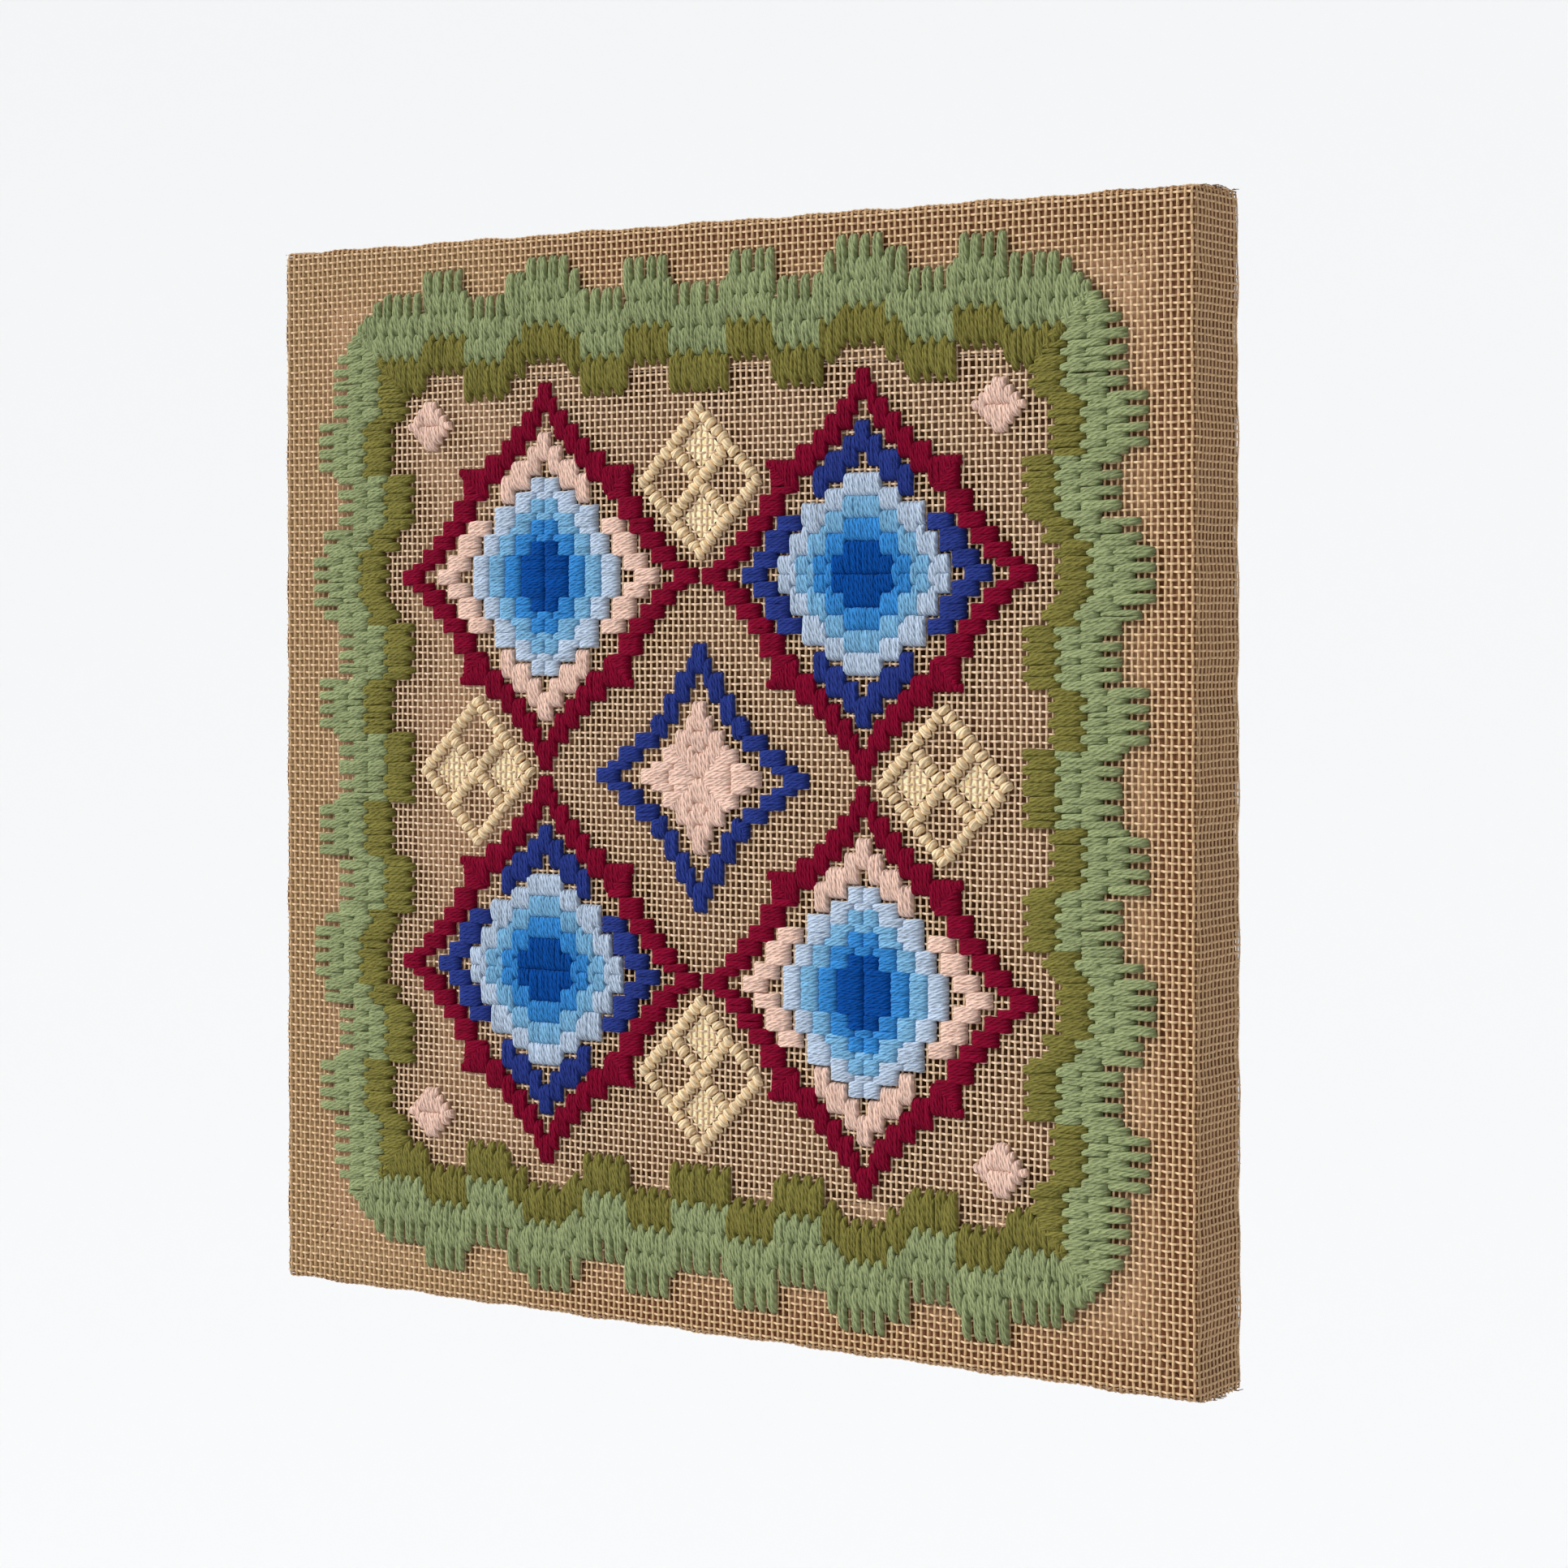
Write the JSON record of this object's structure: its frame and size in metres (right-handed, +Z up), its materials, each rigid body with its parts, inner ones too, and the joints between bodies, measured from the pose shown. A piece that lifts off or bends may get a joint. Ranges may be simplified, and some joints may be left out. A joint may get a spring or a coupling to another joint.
{
  "type": "embroidered canvas panel on stretcher frame",
  "caption": "Square wall panel: open needlepoint canvas stretched over a mitred wooden frame, worked with counted wool star medallions and a stepped border.",
  "frame": {"origin": "back of the canvas hem, on the wall, at the middle of the top bar", "axes": "+Y out of the back into the wall, so the stitched face looks along -Y; +Z up; +X to the right as seen from the front"},
  "size_m": [0.3, 0.0254, 0.3018],
  "materials": {
    "cotton_canvas": "matte",
    "pine": "matte",
    "painted_board": "matte",
    "wool_burgundy": "matte",
    "wool_navy": "matte",
    "wool_pink": "matte",
    "wool_sage": "matte",
    "wool_olive": "matte",
    "wool_ice_blue": "matte",
    "wool_sky_blue": "matte",
    "wool_mid_blue": "matte",
    "wool_deep_blue": "matte",
    "wool_beige": "matte"
  },
  "bodies": {
    "root": {"bar_bottom": "pine", "bar_left": "pine", "bar_right": "pine", "bar_top": "pine", "burgundy_stars": "wool_burgundy", "canvas": "cotton_canvas", "deep_blue_bloom_1": "wool_deep_blue", "deep_blue_bloom_2": "wool_deep_blue", "deep_blue_bloom_3": "wool_deep_blue", "deep_blue_bloom_4": "wool_deep_blue", "ground_board": "painted_board", "ice_blue_bloom_1": "wool_ice_blue", "ice_blue_bloom_2": "wool_ice_blue", "ice_blue_bloom_3": "wool_ice_blue", "ice_blue_bloom_4": "wool_ice_blue", "mid_blue_bloom_1": "wool_mid_blue", "mid_blue_bloom_2": "wool_mid_blue", "mid_blue_bloom_3": "wool_mid_blue", "mid_blue_bloom_4": "wool_mid_blue", "navy_leaves_1": "wool_navy", "navy_leaves_2": "wool_navy", "navy_leaves_3": "wool_navy", "navy_leaves_4": "wool_navy", "navy_leaves_5": "wool_navy", "navy_leaves_6": "wool_navy", "navy_leaves_7": "wool_navy", "navy_leaves_8": "wool_navy", "navy_leaves_9": "wool_navy", "olive_border": "wool_olive", "pink_leaves_1": "wool_pink", "pink_leaves_10": "wool_pink", "pink_leaves_11": "wool_pink", "pink_leaves_12": "wool_pink", "pink_leaves_13": "wool_pink", "pink_leaves_2": "wool_pink", "pink_leaves_3": "wool_pink", "pink_leaves_4": "wool_pink", "pink_leaves_5": "wool_pink", "pink_leaves_6": "wool_pink", "pink_leaves_7": "wool_pink", "pink_leaves_8": "wool_pink", "pink_leaves_9": "wool_pink", "sage_border": "wool_sage", "sky_blue_bloom_1": "wool_sky_blue", "sky_blue_bloom_2": "wool_sky_blue", "sky_blue_bloom_3": "wool_sky_blue", "sky_blue_bloom_4": "wool_sky_blue", "trellis_bottom": "wool_beige", "trellis_left": "wool_beige", "trellis_right": "wool_beige", "trellis_top": "wool_beige"}
  },
  "joints": []
}
